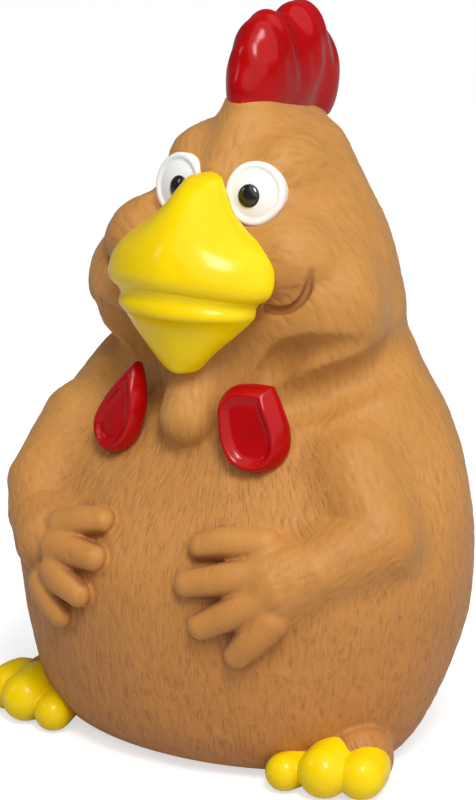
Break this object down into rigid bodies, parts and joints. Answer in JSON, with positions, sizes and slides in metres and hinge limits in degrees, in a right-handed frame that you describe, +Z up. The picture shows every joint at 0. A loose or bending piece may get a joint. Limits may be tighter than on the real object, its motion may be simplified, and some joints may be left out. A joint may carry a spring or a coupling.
{
  "type": "squeaky rubber chicken toy",
  "caption": "Sitting cartoon hen, hollow squeeze toy in brown rubber with painted comb, beak, wattles and feet and a squeaker in its base.",
  "frame": {"origin": "middle of the outline's underside, on the surface the hen sits on", "axes": "+Z up to the comb, -Y towards the beak, +X towards the hen's left side"},
  "size_m": [0.102, 0.0813, 0.1498],
  "materials": {
    "brown_rubber": "matte",
    "red_paint": "gloss",
    "yellow_paint": "gloss",
    "white_paint": "gloss",
    "black_paint": "gloss",
    "squeaker_plastic": "satin",
    "reed_film": "satin"
  },
  "bodies": {
    "body": {"skin": "brown_rubber", "left_foot": "yellow_paint", "right_foot": "yellow_paint", "squeaker_cup": "squeaker_plastic", "sound_block": "squeaker_plastic", "reed_clamp": "squeaker_plastic", "air_cap": "squeaker_plastic"},
    "head": {"upper_beak": "yellow_paint", "lower_beak": "yellow_paint", "left_eye": "white_paint", "right_eye": "white_paint", "left_pupil": "black_paint", "right_pupil": "black_paint", "left_wattle": "red_paint", "right_wattle": "red_paint"},
    "comb": {"comb": "red_paint"},
    "reed": {"reed": "reed_film"}
  },
  "joints": [
    {"name": "head_squash", "type": "slide", "parent": "body", "child": "head", "axis": [0, 0, -1], "range_m": [0, 0.012], "stiffness_N_per_m": 900, "deforming": ["skin"]},
    {"name": "comb_flex", "type": "hinge", "parent": "head", "child": "comb", "pos_m": [0, 0.0138, 0.1301], "axis": [0, 1, 0], "range_deg": [-12, 12], "stiffness_Nm_per_rad": 0.06},
    {"name": "reed_beat", "type": "hinge", "parent": "body", "child": "reed", "pos_m": [-0.0057, 0.00075, 0.0079], "axis": [0, -1, 0], "range_deg": [-2, 4], "stiffness_Nm_per_rad": 0.0002}
  ]
}
